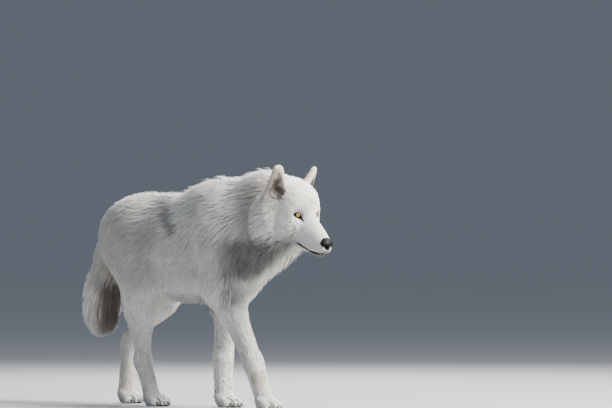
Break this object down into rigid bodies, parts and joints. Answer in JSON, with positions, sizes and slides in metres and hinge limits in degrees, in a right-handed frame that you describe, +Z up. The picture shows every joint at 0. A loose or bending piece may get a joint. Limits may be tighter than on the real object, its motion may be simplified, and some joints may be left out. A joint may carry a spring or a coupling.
{
  "type": "arctic wolf display model",
  "caption": "Life-size arctic wolf in its winter coat, a still display model standing on its own paws in mid-walk with the head carried low.",
  "frame": {"origin": "on the floor, under the middle of the whole model's box", "axes": "+Z up; the wolf faces -Y, and its right side is towards -X"},
  "size_m": [0.294, 1.2274, 0.8031],
  "materials": {
    "coat": "long soft white fur with cream ears and grey-brown shading",
    "nose_leather": "damp black grained skin",
    "claw_horn": "dark horn, worn at the tip",
    "eye": "wet amber iris with a round black pupil"
  },
  "bodies": {
    "root": {"ear_right": "coat", "ear_left": "coat", "nose": "nose_leather", "lower_jaw": "coat", "head": "coat", "neck": "coat", "tail": "coat", "foreleg_right_paw": "coat", "foreleg_right_forearm": "coat", "foreleg_left_paw": "coat", "foreleg_left_forearm": "coat", "hindleg_right_paw": "coat", "hindleg_right_hock": "coat", "hindleg_right_shank": "coat", "hindleg_right_thigh": "coat", "hindleg_left_paw": "coat", "hindleg_left_hock": "coat", "hindleg_left_shank": "coat", "hindleg_left_thigh": "coat", "trunk": "coat", "eye_right": "eye", "eye_left": "eye", "foreleg_right_claw_1": "claw_horn", "foreleg_right_claw_2": "claw_horn", "foreleg_right_claw_3": "claw_horn", "foreleg_right_claw_4": "claw_horn", "foreleg_right_dewclaw": "claw_horn", "foreleg_left_claw_1": "claw_horn", "foreleg_left_claw_2": "claw_horn", "foreleg_left_claw_3": "claw_horn", "foreleg_left_claw_4": "claw_horn", "foreleg_left_dewclaw": "claw_horn", "hindleg_right_claw_1": "claw_horn", "hindleg_right_claw_2": "claw_horn", "hindleg_right_claw_3": "claw_horn", "hindleg_right_claw_4": "claw_horn", "hindleg_left_claw_1": "claw_horn", "hindleg_left_claw_2": "claw_horn", "hindleg_left_claw_3": "claw_horn", "hindleg_left_claw_4": "claw_horn"}
  },
  "joints": []
}
